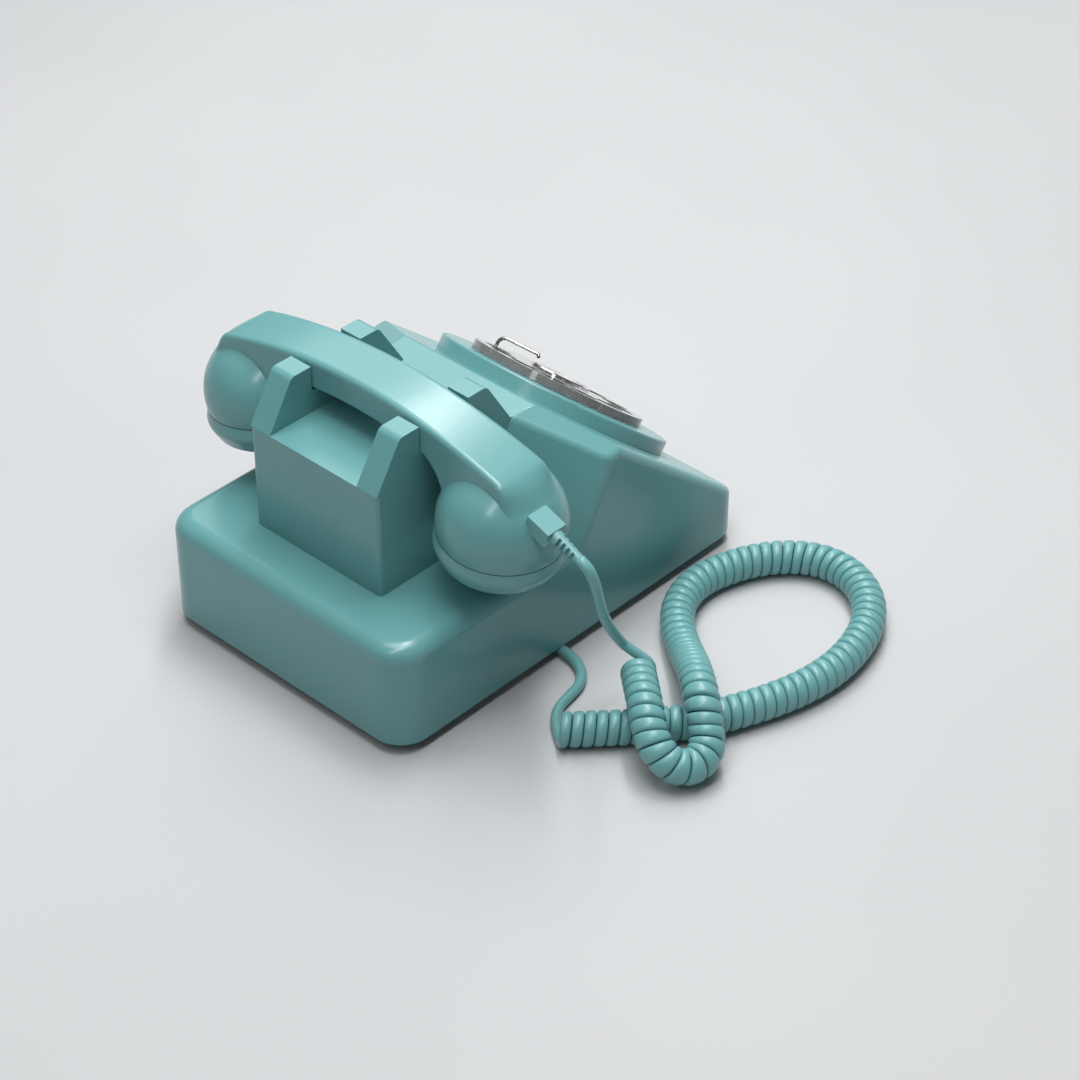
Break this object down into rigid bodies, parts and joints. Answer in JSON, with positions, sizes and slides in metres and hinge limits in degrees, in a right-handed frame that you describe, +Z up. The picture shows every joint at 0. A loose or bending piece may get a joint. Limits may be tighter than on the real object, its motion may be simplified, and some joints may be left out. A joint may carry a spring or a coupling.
{
  "type": "rotary telephone",
  "caption": "Desk telephone with a sloping hood, a rotary finger dial with a governor, a handset on a pronged cradle, a ringer and a curly handset cord.",
  "frame": {"origin": "on the table, under the middle of the housing", "axes": "+Z up, -Y to the front with the dial, +X to the user's right"},
  "size_m": [0.2879, 0.238, 0.1383],
  "materials": {
    "teal_plastic": "semi-gloss moulded teal plastic",
    "teal_vinyl": "satin teal vinyl",
    "clear_acrylic": "clear moulded acrylic with a faint brown-grey tint",
    "dark_enamel": "dark enamel with plain pale numbers",
    "chrome": "bright plated",
    "black_rubber": "matte black",
    "zinc_steel": "zinc plated",
    "brass": "plain",
    "black_phenolic": "moulded phenolic",
    "coil_tape": "wound and taped",
    "white_plastic": "moulded, natural white",
    "aluminium": "drawn, plain"
  },
  "bodies": {
    "base": {"housing": "teal_plastic", "base_plate": "zinc_steel", "rubber_feet": "black_rubber", "base_screws": "zinc_steel", "dial_bezel": "teal_plastic", "number_plate": "dark_enamel", "finger_stop": "chrome", "dial_frame": "zinc_steel", "dial_screws": "zinc_steel", "spring_barrel": "zinc_steel", "dial_bridge": "zinc_steel", "dial_contacts": "black_phenolic", "ringer_frame": "zinc_steel", "ringer_coils": "coil_tape", "gong_left": "brass", "gong_right": "brass", "gong_screws": "zinc_steel", "network_block": "black_phenolic", "terminal_screws": "zinc_steel", "hookswitch_bracket": "zinc_steel", "hookswitch_contacts": "black_phenolic", "hookswitch_spring": "zinc_steel", "cord_clamp": "black_phenolic", "cord_base_lead": "teal_vinyl", "cord_coil": "teal_vinyl", "cord_handset_lead": "teal_vinyl"},
    "handset": {"handset_handle": "teal_plastic", "receiver_cap": "teal_plastic", "transmitter_cap": "teal_plastic", "receiver_capsule": "aluminium", "transmitter_capsule": "aluminium", "cord_plug": "teal_vinyl"},
    "dial": {"finger_wheel": "clear_acrylic", "dial_center_cap": "chrome", "dial_shaft": "zinc_steel", "main_gear": "brass"},
    "governor": {"governor_pinion": "brass", "governor_drum": "brass"},
    "hook": {"hook_plungers": "white_plastic", "plunger_yoke": "black_phenolic"},
    "striker": {"ringer_armature": "zinc_steel", "clapper": "zinc_steel"}
  },
  "joints": [
    {"name": "handset_lift", "type": "slide", "parent": "base", "child": "handset", "axis": [0, 0, 1], "range_m": [0, 0.07]},
    {"name": "dial_turn", "type": "hinge", "parent": "base", "child": "dial", "pos_m": [0, -0.06077, 0.06794], "axis": [0, 0.6401, -0.7683], "range_deg": [0, 318], "stiffness_Nm_per_rad": 0.008, "springref_deg": -85.94},
    {"name": "governor_spin", "type": "hinge", "parent": "base", "child": "governor", "pos_m": [-0.02037, -0.04512, 0.08097], "axis": [0, 0.6401, -0.7683], "range_deg": [-1592, 2]},
    {"name": "hook_press", "type": "slide", "parent": "base", "child": "hook", "axis": [0, 0, 1], "range_m": [0, 0.005], "deforming": ["hookswitch_spring"]},
    {"name": "clapper_swing", "type": "hinge", "parent": "base", "child": "striker", "pos_m": [0, 0.0495, 0.03], "axis": [0, 0, 1], "range_deg": [-3.5, 3.5], "stiffness_Nm_per_rad": 0.01}
  ],
  "couplings": [
    {"joint": "governor_spin", "follows": "dial_turn", "ratio": -5},
    {"joint": "hook_press", "follows": "handset_lift", "ratio": 0.071429}
  ]
}
